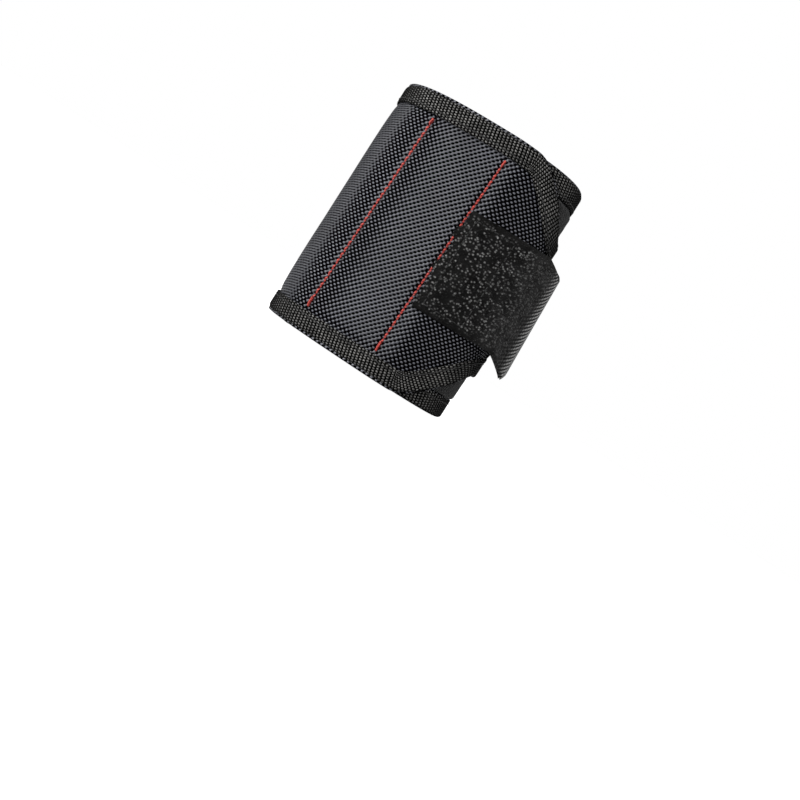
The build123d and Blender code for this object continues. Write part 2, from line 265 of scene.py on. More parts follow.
def surface_normals(points, wrap):
    """Unit normals of a grid of points, so that pieces cut from one surface shade as one."""
    down = np.gradient(points, axis=0)
    if wrap:
        across = np.roll(points, -1, 1) - np.roll(points, 1, 1)
    else:
        across = np.gradient(points, axis=1)
    return unit(np.cross(down, across))


class Piece:
    """Gathers grids of points and makes one mesh object of them."""

    def __init__(self, name):
        self.name = name
        self.points, self.normals, self.coordinates, self.faces, self.finish = [], [], [], [], []
        self.finishes = []
        self.count = 0

    def _add(self, points, normals, coordinates, faces, finish):
        if finish not in self.finishes:
            self.finishes.append(finish)
        self.points.append(points.reshape(-1, 3))
        self.normals.append(normals.reshape(-1, 3))
        self.coordinates.append(coordinates.reshape(-1, 2))
        self.faces += [[i + self.count for i in face] for face in faces]
        self.finish += [self.finishes.index(finish)] * len(faces)
        self.count += points.reshape(-1, 3).shape[0]

    def grid(self, points, coordinates, finish, wrap=True, caps=(False, False), normals=None):
        """Rows of points joined into a tube (wrap) or a sheet, closed at either end if asked."""
        rows, columns = points.shape[:2]
        if normals is None:
            normals = surface_normals(points, wrap)
        number = np.arange(rows * columns).reshape(rows, columns)
        right = np.roll(number, -1, 1) if wrap else number[:, 1:]
        left = number if wrap else number[:, :-1]
        quads = np.stack([left[:-1], left[1:], right[1:], right[:-1]], -1).reshape(-1, 4).tolist()
        self._add(points, normals, coordinates, quads, finish)
        for row, wanted in zip((0, -1), caps):
            if wanted:
                ring = points[row]
                outward = unit(ring.mean(0) - points[1 if row == 0 else -2].mean(0))
                order = list(range(columns)) if row == 0 else list(range(columns))[::-1]
                self._add(ring, np.broadcast_to(outward, ring.shape), coordinates[row], [order], finish)

    def build(self):
        mesh = bpy.data.meshes.new(self.name)
        points = np.concatenate(self.points)
        mesh.from_pydata(points.tolist(), [], self.faces)
        for finish in self.finishes:
            mesh.materials.append(finish)
        mesh.polygons.foreach_set("material_index", self.finish)
        mesh.polygons.foreach_set("use_smooth", [True] * len(mesh.polygons))
        corner = np.zeros(len(mesh.loops), int)
        mesh.loops.foreach_get("vertex_index", corner)
        layer = mesh.uv_layers.new(name="cloth")
        layer.data.foreach_set("uv", np.concatenate(self.coordinates)[corner].astype(np.float32).ravel())
        mesh.normals_split_custom_set_from_vertices(np.concatenate(self.normals).tolist())
        return added(self.name, mesh)


def place(piece, slot, *nodes):
    """Builds a piece in place of the CAD nodes that it stands for."""
    built = piece.build()
    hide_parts(*nodes)
    return built


def tube(centres, radii, up, side):
    """Rings of a round cord about a line of centres; up and side span each ring."""
    angle = np.arange(SIDES) / SIDES * ROUND
    spin = np.cos(angle)[None, :, None] * side[:, None] + np.sin(angle)[None, :, None] * up[:, None]
    return centres[:, None] + spin * radii[:, None, None]


def sew(piece, holes, up, radius, finish):
    """A row of stitches: each a plump length of thread that dives into the cloth at both ends."""
    profile = np.array([0.0, 0.12, 0.3, 0.5, 0.7, 0.88, 1.0])
    height = (np.sin(profile * math.pi) ** 0.6 * STITCH_ARCH - STITCH_DIVE) * radius
    plump = radius * (0.55 + 0.45 * np.sin(profile * math.pi) ** 0.5)
    for start, end, start_up, end_up in zip(holes[:-1], holes[1:], up[:-1], up[1:]):
        line = start + (end - start) * profile[:, None]
        lean = start_up + (end_up - start_up) * profile[:, None]
        side = unit(np.cross(unit(end - start), lean))
        rings = tube(line + lean * height[:, None], plump, lean, side)
        length = np.linalg.norm(end - start) / MM * profile[:, None]
        piece.grid(rings, paired(length, np.arange(SIDES) / SIDES), finish, caps=(True, True))


def direction(azimuth, elevation):
    """Unit vector from the cuff out to an azimuth (0 is -Y, 90 is +X) and elevation in degrees."""
    a, e = math.radians(azimuth), math.radians(elevation)
    return Vector((math.sin(a) * math.cos(e), -math.cos(a) * math.cos(e), math.sin(e)))


# ---- shader maths ----
class Signal:
    """A number in a shader. Ordinary arithmetic on Signals adds the matching Math nodes."""

    def __init__(self, tree, socket):
        self.tree, self.socket = tree, socket

    def math(self, operation, *others, clamp=False):
        node = self.tree.nodes.new("ShaderNodeMath")
        node.operation = operation
        node.use_clamp = clamp
        for slot, value in zip(node.inputs, (self, *others)):
            plug(self.tree, slot, value)
        return Signal(self.tree, node.outputs[0])

    __add__ = __radd__ = partialmethod(math, "ADD")
    __mul__ = __rmul__ = partialmethod(math, "MULTIPLY")
    __sub__ = partialmethod(math, "SUBTRACT")
    __truediv__ = partialmethod(math, "DIVIDE")

    def __rsub__(self, other):
        return self * -1 + other

    def ramp(self, start, end):
        """0 as far as start, 1 from end on, and a straight climb between."""
        return (self - start).math("DIVIDE", end - start, clamp=True)

    def wave(self):
        """1 at whole numbers and -1 halfway between them."""
        return (self * math.tau).math("COSINE")

    def stagger(self, row):
        """Shifted by half a cell in every other row."""
        return self + row.math("FLOOR") * 0.5

    def off_centre(self):
        """0 at the middle of each whole number's cell and 1 at its edges."""
        return (self.math("FRACT") - 0.5).math("ABSOLUTE") * 2

    def mound(self):
        """1 at the middle of each whole number's cell, and a rounded fall to 0 at its edges."""
        off = self.off_centre()
        return 1 - off * off


def plug(tree, slot, value):
    if isinstance(value, Signal):
        tree.links.new(value.socket, slot)
    elif hasattr(slot.default_value, "__len__") and not hasattr(value, "__len__"):
        slot.default_value = (value, value, value, 1)
    else:
        slot.default_value = value


class Finish:
    """A material being made: its node tree, its cloth coordinates in millimetres and its shader."""

    def __init__(self, name, coordinates="cloth"):
        self.material = bpy.data.materials.new(name)
        self.material.use_nodes = True
        self.tree = self.material.node_tree
        self.shader = self.tree.nodes["Principled BSDF"]
        if coordinates == "cloth":
            source = self.tree.nodes.new("ShaderNodeUVMap")
            source.uv_map = "cloth"
            self.place = source.outputs[0]
        else:
            source = self.tree.nodes.new("ShaderNodeTexCoord")
            scale = self.tree.nodes.new("ShaderNodeVectorMath")
            scale.operation = "SCALE"
            scale.inputs["Scale"].default_value = 1 / MM
            self.tree.links.new(source.outputs["Object"], scale.inputs[0])
            self.place = scale.outputs[0]
        split = self.tree.nodes.new("ShaderNodeSeparateXYZ")
        self.tree.links.new(self.place, split.inputs[0])
        self.along = Signal(self.tree, split.outputs[0])
        self.across = Signal(self.tree, split.outputs[1])

    def texture(self, kind, size, stretch=(1, 1, 1), **settings):
        """The first output of a texture node whose features are about size millimetres apart."""
        mapping = self.tree.nodes.new("ShaderNodeMapping")
        mapping.inputs["Scale"].default_value = [s / size for s in stretch]
        self.tree.links.new(self.place, mapping.inputs[0])
        node = self.tree.nodes.new(kind)
        for name, value in {"Scale": 1.0, **settings}.items():
            node.inputs[name].default_value = value
        self.tree.links.new(mapping.outputs[0], node.inputs["Vector"])
        return Signal(self.tree, node.outputs[0])

    def noise(self, size, detail=2.0, stretch=(1, 1, 1)):
        """Cloudy noise from 0 to 1."""
        return self.texture("ShaderNodeTexNoise", size, stretch, Detail=detail)

    def specks(self, size, jitter=1.0):
        """1 at scattered points, falling away from each."""
        apart = self.texture("ShaderNodeTexVoronoi", size, Randomness=jitter)
        return (1 - apart * 1.6).math("MAXIMUM", 0.0)

    def facing(self, towards):
        """How squarely the surface faces a direction, from -1 to 1."""
        geometry = self.tree.nodes.new("ShaderNodeNewGeometry")
        product = self.tree.nodes.new("ShaderNodeVectorMath")
        product.operation = "DOT_PRODUCT"
        product.inputs[1].default_value = towards
        self.tree.links.new(geometry.outputs["Normal"], product.inputs[0])
        return Signal(self.tree, product.outputs["Value"])

    def paint(self, dark, light, share):
        """The base colour: dark where share is 0 and light where it is 1."""
        mix = self.tree.nodes.new("ShaderNodeMix")
        mix.data_type = "RGBA"
        plug(self.tree, mix.inputs["Factor"], share)
        mix.inputs["A"].default_value = (*dark, 1)
        mix.inputs["B"].default_value = (*light, 1)
        self.tree.links.new(mix.outputs["Result"], self.shader.inputs["Base Color"])

    def relief(self, height, depth):
        """Raised detail: height runs from 0 to 1 and stands for depth millimetres."""
        bump = self.tree.nodes.new("ShaderNodeBump")
        bump.inputs["Strength"].default_value = 1.0
        bump.inputs["Distance"].default_value = depth * MM
        plug(self.tree, bump.inputs["Height"], height)
        self.tree.links.new(bump.outputs[0], self.shader.inputs["Normal"])

    def set(self, **values):
        for key, value in values.items():
            plug(self.tree, self.shader.inputs[key.replace("_", " ")], value)


WARP, WEFT = 0.86, 0.93  # the width of the nylon's yarns, around the band and across it
GLARE_AZIMUTH = 3  # the way that nylon faces where a painted highlight is strongest, standing for the key light mirrored into the camera
LIMB_AZIMUTH = -84  # the way that it faces where its rows run together and a painted sheen lightens it, at the cuff's left side
LIMB_SKEW = 0.19  # how far those rows climb for each millimetre along the band


def ballistic_nylon():
    """Thick plain-woven nylon: yarn crowns painted light bluish grey as highlights stand in staggered rows
    over gaps painted near black as shade.

    Where it faces the key light a painted highlight makes the crowns run together and only dark pits stay
    between them; at the cuff's left side a painted sheen lightens it."""
    finish = Finish("ballistic_nylon")
    # painted highlight mask: where the nylon faces GLARE_AZIMUTH its crowns are painted lighter and run
    # together
    painted_glare = finish.facing(direction(GLARE_AZIMUTH, 6)).ramp(0.94, 0.99)
    # painted sheen mask: turned lightens the nylon and evens out its rows where it turns away to the left
    turned = finish.facing(direction(LIMB_AZIMUTH, 0)).ramp(0.46, 0.71)
    end, pick = finish.along / (2 * WARP), finish.across / (2 * WEFT)
    rising, falling, rows = (end + pick).wave(), (end - pick).wave(), (pick * 2).wave()
    waves = rising * (1 - painted_glare * 0.35) + falling * (1 + painted_glare * 0.25) + rows * (0.5 - painted_glare)
    askew = ((finish.across - finish.along * LIMB_SKEW) / WEFT).wave()
    waves = waves * (1 - turned * 0.92) + askew * turned * 0.5
    crown = (waves + painted_glare * 0.8 + turned * 0.65).ramp(0.1, 1.713)
    # The crowns are painted light as highlights and the gaps near black as shade; the brightness also
    # varies at random in cloudy patches and is lowered a little in the painted highlight and sheen.
    tone_and_painted_light = 0.75 + finish.noise(14.0) * 0.5 - painted_glare * 0.45 - turned * 0.35
    finish.paint((0.0008, 0.0008, 0.0009), (0.092, 0.095, 0.116), crown * tone_and_painted_light)
    finish.relief(waves * 0.25 + finish.noise(0.25, 1.0) * 0.08, 0.4)
    finish.set(Roughness=0.38, Specular_IOR_Level=crown * (1 - painted_glare * 0.35))
    return finish.material


RIB, KNUCKLE = 1.22, 0.92  # the binding's ribs, and the knuckles along each rib
RIB_LEAN = 0.22  # how far a rib leans along the binding for each millimetre across
LIT_AZIMUTH = 10  # the way that the knuckles face where their painted highlight is brightest


def binding_webbing():
    """Ribbed tape: slightly leaning ribs run across it, each a row of small knuckles whose tops are painted
    bright as highlights.
    """
    finish = Finish("binding_webbing")
    rib = (finish.along + finish.across * RIB_LEAN) / RIB
    knuckle = (finish.across / KNUCKLE).stagger(rib) + finish.noise(2.2) * 0.5
    height = rib.mound() * (0.15 + knuckle.mound() * 0.85)
    lit = finish.facing(direction(LIT_AZIMUTH, 10)).ramp(0.3, 0.925)
    # painted highlight: the knuckle tops are painted bright in cloudy patches where the tape faces
    # LIT_AZIMUTH, and a little painted grey is added where it faces away
    painted_light_patches = finish.noise(6.0, 3.0) * lit
    nick = finish.noise(0.8, 1.0)
    bright = height.ramp(0.4, 0.9) * (nick * 1.8 - 0.2)
    share = bright * (painted_light_patches * 2.0 - 0.2) + (1 - lit) * 0.035
    finish.paint((0.0005, 0.0005, 0.0005), (0.22, 0.215, 0.205), share)
    finish.relief(height + nick * 0.3, 0.6)
    finish.set(Roughness=0.42 + (1 - height) * 0.3, Specular_IOR_Level=bright * (lit * 0.9 + 0.1))
    return finish.material


PEBBLE, GRIT = 1.12, 0.8  # how far apart the strap's pebbles and its finer grains stand
STRAP_RIB, STRAP_KNUCKLE, RIB_RUN = 1.5, 1.3, 1.1
WORN, TURN = (19, 33), (34, 43)  # where along the strap it grows smooth, and where its ribs open
TURN_AZIMUTH = 97  # the way that the strap faces where its ribs are painted with a highlight


def strap_tape():
    """Rough fastener tape: pebbly with painted glints near its cut end, worn smooth where it bows out.

    At the bend its slanting ribs open and are painted with a highlight where they face TURN_AZIMUTH; its
    long edges are smooth selvedges."""
    finish = Finish("strap_tape")
    from_edge = STRAP_WIDTH / 2 - (finish.across - STRAP_WIDTH / 2).math("ABSOLUTE")
    worn, bend = finish.along.ramp(*WORN), finish.along.ramp(*TURN)
    pebble = finish.specks(PEBBLE, 0.9).ramp(0.23, 0.685) * from_edge.ramp(1.0, 2.2)
    grit = finish.specks(GRIT).ramp(0.35, 0.805)
    # painted glints: the brightest pebbles near the cut end are painted lighter, fading out where the strap
    # grows smooth
    painted_glint = pebble * pebble * finish.noise(1.2, 1.0).ramp(0.38, 0.58) * (1 - worn)
    rib = ((finish.along / RIB_RUN - finish.across) / STRAP_RIB).wave() * 0.5 + 0.5
    knuckle = (finish.along / STRAP_KNUCKLE).wave() * 0.5 + 0.5
    weave = rib * (0.5 + knuckle * 0.5)
    height = pebble * (0.9 - worn * 0.6) + grit * 0.25 + weave * (0.1 + bend * 0.6)
    cloudy = finish.noise(5.0) * (0.058 + worn * 0.06)
    body = pebble * (0.25 - worn * 0.17) + grit * (0.03 + worn * 0.12)
    # painted highlight on the ribs at the bend, strongest where the strap faces TURN_AZIMUTH
    painted_rib_glint = finish.facing(direction(TURN_AZIMUTH, 0)).ramp(0.8, 1.0)
    ribs = weave * weave * bend * (0.35 + painted_rib_glint * 6.5)
    share = cloudy * (1 - bend * 0.7) + body * (1 - bend * 0.8) + painted_glint * 0.6 + ribs
    finish.paint((0.0003, 0.0003, 0.0003), (0.20, 0.198, 0.195), share)
    finish.relief(height + finish.noise(0.3) * 0.2, 0.8)
    finish.set(Roughness=0.5 - painted_glint * 0.2, Specular_IOR_Level=share * 1.3)
    return finish.material


def hook_pile():
    """The hook side of the tape: rows of stiff little hooks on a woven ground."""
    finish = Finish("hook_pile")
    row, column = finish.along / 1.3, finish.across / 1.1
    narrow = (1 - row.off_centre() * 1.2).math("MAXIMUM", 0.0)
    hooks = narrow * (1 - column.stagger(row).off_centre())
    finish.paint((0.006, 0.006, 0.006), (0.05, 0.05, 0.052), hooks)
    finish.relief(hooks * 1.5 + finish.noise(0.3) * 0.2, 0.5)
    finish.set(Roughness=0.45, Specular_IOR_Level=0.6)
    return finish.material


def loop_pile():
    """Matte brushed loops: a fine tangle with no direction."""
    finish = Finish("loop_pile")
    loops = finish.specks(0.75) * 0.6 + finish.specks(0.5) * 0.4
    share = loops * loops * (0.6 + finish.noise(7.0) * 0.8)
    finish.paint((0.002, 0.002, 0.002), (0.030, 0.030, 0.031), share)
    finish.relief(loops, 0.6)
    finish.set(Roughness=1.0, Specular_IOR_Level=0.05, Sheen_Weight=0.15, Sheen_Roughness=0.6)
    return finish.material


def lining_mesh():
    """Soft spacer mesh: small round holes in staggered rows."""
    finish = Finish("lining_mesh")
    row, column = finish.across / 1.5, finish.along / 1.7
    cloth = (2 - row.mound() - column.stagger(row).mound()).ramp(0.156, 0.781)
    finish.paint((0.003, 0.003, 0.003), (0.032, 0.032, 0.034), cloth * (0.7 + finish.noise(0.5) * 0.4))
    finish.relief(cloth + finish.noise(0.3) * 0.2, 0.35)
    finish.set(Roughness=0.72, Specular_IOR_Level=0.35, Sheen_Weight=0.3, Sheen_Roughness=0.5)
    return finish.material


def thread(name, dark, light):
    """Twisted sewing thread: the plies show as slanting ridges, with painted shade darkening the grooves
    between them.
    """
    finish = Finish(name)
    height = (finish.along / 1.15 + finish.across).mound()
    # painted shade: the thread's colour is its own on the ridges and darker in the grooves between plies
    finish.paint(dark, light, height * height)
    finish.relief(height, 0.2)
    finish.set(Roughness=0.5, Specular_IOR_Level=0.4)
    return finish.material


def foam():
    finish = Finish("foam", "object")
    cells = finish.specks(0.5)
    finish.paint((0.16, 0.16, 0.17), (0.34, 0.34, 0.35), cells * 0.6 + finish.noise(2.0) * 0.4)
    finish.relief(cells, 0.15)
    finish.set(Roughness=0.85, Specular_IOR_Level=0.2)
    return finish.material


def magnet():
    finish = Finish("magnet", "object")
    scuffs = finish.noise(0.6, 5.0, (1, 1, 6))
    finish.paint((0.52, 0.52, 0.53), (0.72, 0.72, 0.73), scuffs)
    finish.relief(scuffs, 0.01)
    finish.set(Roughness=0.18 + scuffs * 0.22, Metallic=1.0)
    return finish.material


NYLON = ballistic_nylon()
WEBBING = binding_webbing()
TAPE = strap_tape()
HOOKS = hook_pile()
LOOPS = loop_pile()
MESH = lining_mesh()
RED = thread("red_thread", (0.16, 0.006, 0.008), (0.56, 0.070, 0.052))
BLACK = thread("black_thread", (0.002, 0.002, 0.002), (0.020, 0.020, 0.020))
FOAM = foam()
METAL = magnet()


# ---- padded cloth ----
CROWN = 0.6  # how far a padded pocket stands up between its seams
CROWN_EDGE = 12  # how far from the binding the crown is full
SIM_STEP, SIM_SCALE, SIM_FRAMES = 1.6, 12.0, 20
SIM_SETTINGS = {
    "uniform_pressure_force": 4.0,
    "shrink_min": -0.01,
    "tension_stiffness": 40,
    "compression_stiffness": 40,
    "bending_stiffness": 2.0,
}
SIM_SMOOTHING = 16  # how many times the blown-up cloth is evened out along its seams
SIM_CAP = 1.05  # the highest crown that is kept, as a share of its usual height


def crown_by_formula(along, z):
    """How much of the crown a place on the pockets has, 0 at the seams and 1 in the middle."""
    across = np.ones_like(along)
    for left, right in zip(SEAMS, SEAMS[1:]):
        inside = (along >= left) & (along <= right)
        t = np.clip((along - left) / (right - left), 0, 1)
        across = np.where(inside, np.sin(t * math.pi) ** 0.7, across)
    edge = np.clip((z - BINDING_WIDTH) / CROWN_EDGE, 0, 1)
    edge = edge * np.clip((BAND_HEIGHT - BINDING_WIDTH - z) / CROWN_EDGE, 0, 1)
    on_pocket = (along > SEAMS[0]) & (along < TAB_SEAM)
    return np.where(on_pocket, across * np.sin(edge * math.pi / 2) ** 0.7, 0)


def crown_by_cloth():
    """The pockets' outer cloth blown up between its seams: (places along, heights, crown on that grid)."""
    columns = np.unique(np.concatenate([np.arange(SEAMS[0], TAB_SEAM, SIM_STEP), SEAMS]))
    rows = np.arange(BINDING_WIDTH, BAND_HEIGHT - BINDING_WIDTH + 0.1, SIM_STEP)
    a, b = np.meshgrid(columns, rows, indexing="ij")
    start = 0.25 * crown_by_formula(a, b) + 0.05 * ripple(a, b, 4.0, 3)
    points = np.stack([a, b, start], -1).reshape(-1, 3) * MM * SIM_SCALE
    number = np.arange(a.size).reshape(a.shape)
    quads = np.stack([number[:-1, :-1], number[1:, :-1], number[1:, 1:], number[:-1, 1:]], -1)
    mesh = bpy.data.meshes.new("crown")
    mesh.from_pydata(points.tolist(), [], quads.reshape(-1, 4).tolist())
    sheet = added("crown", mesh)
    held = (np.abs(a[..., None] - np.array(SEAMS)).min(-1) < 0.05) | (b == rows[0]) | (b == rows[-1])
    group = sheet.vertex_groups.new(name="held")
    group.add(number[held].tolist(), 1.0, "REPLACE")
    cloth = sheet.modifiers.new("cloth", "CLOTH")
    cloth.settings.vertex_group_mass = "held"
    cloth.settings.effector_weights.gravity = 0
    cloth.settings.use_pressure = True
    for setting, value in SIM_SETTINGS.items():
        setattr(cloth.settings, setting, value)
    cloth.point_cache.frame_start, cloth.point_cache.frame_end = 1, SIM_FRAMES
    for moment in range(1, SIM_FRAMES + 1):
        bpy.context.scene.frame_set(moment)
    done = sheet.evaluated_get(bpy.context.evaluated_depsgraph_get()).to_mesh()
    height = np.zeros(len(done.vertices) * 3, np.float32)
    done.vertices.foreach_get("co", height)
    height = height.reshape(-1, 3)[:, 2].reshape(a.shape)
    bpy.data.objects.remove(sheet)
    bpy.context.scene.frame_set(1)
    print("crown swelled to", round(float(height.max()) / MM / SIM_SCALE, 2), "mm before it was capped")
    for _ in range(SIM_SMOOTHING):
        height[:, 1:-1] = (height[:, :-2] + height[:, 1:-1] * 2 + height[:, 2:]) / 4
    return columns, rows, np.clip(height / max(float(np.percentile(height, 98)), 1e-9), 0, SIM_CAP)


CLOTH = crown_by_cloth()


def cell(lattice, place):
    """Which cell of a lattice holds a place, and how far through the cell it is."""
    i = np.clip(np.searchsorted(lattice, place) - 1, 0, len(lattice) - 2)
    return i, np.clip((place - lattice[i]) / (lattice[i + 1] - lattice[i]), 0, 1)


def crown(along, z):
    if CLOTH is None:
        return crown_by_formula(along, z)
    columns, rows, height = CLOTH
    (i, s), (j, t) = cell(columns, along), cell(rows, z)
    near = height[i, j] * (1 - t) + height[i, j + 1] * t
    far = height[i + 1, j] * (1 - t) + height[i + 1, j + 1] * t
    inside = (along > SEAMS[0]) & (along < TAB_SEAM) & (z > rows[0]) & (z < rows[-1])
    return np.where(inside, near * (1 - s) + far * s, 0)


STITCH = 2.3  # length of one stitch in a pocket seam
SEAM_MARGIN = 9.0  # how far from the band's edges a seam starts and stops
SEAM_SHIFT, SEAM_LEAN = -0.4, 1.2  # how far a sewn seam strays from its fold line, and how far it leans


def seam_line(seam, z):
    """Where along the band a seam is sewn at a height."""
    return seam + SEAM_SHIFT + SEAM_LEAN * (z / MID - 1)


def seam_pull(along, z):
    """How far the seams draw the cloth in, with a pucker at each stitch."""
    pull = np.zeros_like(along)
    within = smooth((z - SEAM_MARGIN + 2) / 2) * smooth((BAND_HEIGHT - SEAM_MARGIN + 2 - z) / 2)
    for seam in SEAMS:
        pull = pull + 0.55 * hump(along - seam_line(seam, z), 0.9)
    pucker = 0.75 + 0.25 * np.cos(z / STITCH * ROUND)
    return pull * pucker * within


def outer_lift(along, z):
    """Lift of the outer fabric's face once it is quilted and bound."""
    near_binding = np.minimum(z, BAND_HEIGHT - z)
    squeeze = 0.3 * hump(near_binding - BINDING_WIDTH, 1.6) * (body_lift(along) - THIN) / (THICK - THIN)
    loose = 0.05 * ripple(along, z, 9.0, 5)
    return body_lift(along) + CROWN * crown(along, z) - seam_pull(along, z) - squeeze + loose


def inner_lift(along, z):
    """Lift of the lining's wrist side: it swells a little and is drawn in at the seams."""
    return 0.35 * seam_pull(along, z) - 0.12 * crown_by_formula(along, z)


PLY_POINTS, BACK_SKIP = 113, 8  # points across a sheet's face, and how many of them its back has one for


def ply(name, slot, finish, first, last, low, high, face_lift, thickness, spacing=0.8):
    """A sheet with a front and a back, as one grid over the whole band, cut into a piece for each zone."""
    places = stations(first, last, spacing)
    share = np.linspace(0, 1, PLY_POINTS)
    bottom, top = low(places)[:, None], high(places)[:, None]
    z = bottom + (top - bottom) * share
    along = np.broadcast_to(places[:, None], z.shape)
    lift = face_lift(along, z)
    front, back = on_band(along, lift, z), on_band(along, lift - thickness, z)
    points = np.concatenate([front, back[:, ::-BACK_SKIP]], 1)
    coordinates = paired(along, z)
    coordinates = np.concatenate([coordinates, coordinates[:, ::-BACK_SKIP]], 1)
    normals = surface_normals(points, True)
    for zone in ZONES:
        chosen = np.flatnonzero((places >= zone.first - 1e-6) & (places <= zone.last + 1e-6))
        if len(chosen) < 2:
            continue
        piece = Piece(f"{name}_{zone.name}")
        ends = (chosen[0] == 0, chosen[-1] == len(places) - 1)
        piece.grid(points[chosen], coordinates[chosen], finish, caps=ends, normals=normals[chosen])
        zone.place(name, piece, slot)


PILE = 0.8  # how high the loop panel's pile stands


def make_cloth():
    """The outer fabric, the lining and the loop panel."""
    tuck = BINDING + PLAY

    def low(along):
        return MID - half_width(along) + tuck

    def high(along):
        return BAND_HEIGHT - low(along)

    def lining_face(along, z):
        return inner_lift(along, z) + LINING

    whole = (tuck, BAND_LENGTH - tuck, low, high)
    ply("outer_fabric", "ballistic_nylon", NYLON, *whole, outer_lift, OUTER_FABRIC)
    ply("lining", "lining_mesh", MESH, *whole, lining_face, LINING, 1.2)

    margin, panel_end = BINDING_WIDTH + 0.5, SEAMS[0] - 12

    def panel_low(along):
        return margin + 0.25 * ripple(along, 0, 2.0, 11)

    def panel_high(along):
        return BAND_HEIGHT - margin + 0.25 * ripple(along, 0, 2.0, 12)

    def panel_face(along, z):
        from_ends = np.minimum(along - margin, panel_end - along)
        edge = np.minimum(from_ends, np.minimum(z, BAND_HEIGHT - z) - margin)
        pile = PILE * (0.35 + 0.65 * smooth(edge / 1.2 + 0.2))
        return THIN + PLAY + pile + 0.06 * ripple(along, z, 1.1, 13)

    ply("loop_panel", "loop_pile", LOOPS, margin, panel_end, panel_low, panel_high, panel_face, 0.3)


# ---- pocket seams ----
BARTACK, TACK_POINTS, TACK_SWING = 3.2, 11, 0.42  # a bartack's length, holes and half-width
SEAM_THREAD = 0.38  # radius of the thread in a pocket seam


def make_seam(number, seam, zone):
    """A pocket seam: red stitches outside and in, with a bartack at each end."""
    piece = Piece(f"pocket_thread_{number}")
    count = round((BAND_HEIGHT - 2 * SEAM_MARGIN) / STITCH)
    z = np.linspace(SEAM_MARGIN, BAND_HEIGHT - SEAM_MARGIN, count + 1)
    wander = seam_line(seam, z) + 0.1 * ripple(z, 0, 5.0, 20 + number)
    up = level(wrap_normal(wander + PLAIN_END))
    outside = on_band(wander, outer_lift(wander, z) + 0.05, z)
    sew(piece, outside, up, SEAM_THREAD * MM, RED)
    inside = on_band(wander, inner_lift(wander, z), z)
    sew(piece, inside, -up, SEAM_THREAD * MM, RED)
    for end, sign in ((0, 1), (-1, -1)):
        zigzag = z[end] + sign * np.linspace(0, BARTACK if end == 0 else BARTACK / 2, TACK_POINTS)
        swing = wander[end] + TACK_SWING * np.where(np.arange(TACK_POINTS) % 2 == 0, 1, -1)
        tack = on_band(swing, outer_lift(wander[end] + 0 * zigzag, zigzag) + 0.3, zigzag)
        sew(piece, tack, np.repeat(up[end][None], TACK_POINTS, 0), SEAM_THREAD * MM, RED)
    zone.hold(place(piece, "red_thread", f"pocket_thread_{number}"))


# ---- binding ----
PLAIN_CORNER, TIP_CORNER, INNER_CORNER = 3.0, 5.0, 0.4  # corner radii: two outside, and inside the tape
CORNER_POINTS, TIP_POINTS, PLAIN_POINTS, JOIN_POINTS = 7, 68, 118, 7
BINDING_STITCH, BINDING_STITCHED = 2.6, 0.8  # a stitch's length, and the share of the width where it runs
# how deeply the binding's edge wavers, over what length, and the seed of each
BINDING_WAVER = (0.16, 3.2, 31), (0.12, 0.9, 32), (0.3, 9.0, 34)


def corner(along, z, quarter, radius):
    """A round corner about a centre, starting a number of quarter turns from the band's own direction."""
    angle = np.linspace(quarter, quarter + 1, CORNER_POINTS) * math.pi / 2
    return paired(along + radius * np.cos(angle), z + radius * np.sin(angle))


def tab_edge(places, inset):
    """Points on the band's upper edge, moved inward by inset, at places along the band."""
    slope = half_width(places + 0.5) - half_width(places - 0.5)
    length = np.hypot(1, slope)
    return paired(places + inset * slope / length, MID + half_width(places) - inset / length)


def band_outline(inset):
    """The band's whole edge as (along, z), going anticlockwise from the lower plain corner."""
    plain, tip = (PLAIN_CORNER, TIP_CORNER) if inset == 0 else (INNER_CORNER, INNER_CORNER)
    tip_half = TAB_TIP_HALF_WIDTH - inset
    low, high = inset + plain, BAND_HEIGHT - inset - plain
    tip_x, tip_low, tip_high = BAND_LENGTH - inset - tip, MID - tip_half + tip, MID + tip_half - tip
    places = stations(PLAIN_CORNER + BINDING_WIDTH, BAND_LENGTH - TIP_CORNER - BINDING_WIDTH, 0.6)
    first = np.linspace(low, places[0], JOIN_POINTS + 1)[:-1]
    last = np.linspace(places[-1], tip_x, JOIN_POINTS + 1)[1:]
    ends = paired(first, BAND_HEIGHT - inset), paired(last, MID + tip_half)
    upper = np.concatenate([ends[0], tab_edge(places, inset), ends[1]])
    return np.concatenate(
        [
            upper * [1, -1] + [0, BAND_HEIGHT],
            corner(tip_x, tip_low, -1, tip)[1:],
            paired(BAND_LENGTH - inset, np.linspace(tip_low, tip_high, TIP_POINTS + 2)[1:-1]),
            corner(tip_x, tip_high, 0, tip)[:-1],
            upper[::-1],
            corner(low, high, 1, plain)[1:],
            paired(inset, np.linspace(high, low, PLAIN_POINTS + 2)[1:-1]),
            corner(low, low, 2, plain)[:-1],
        ]
    )


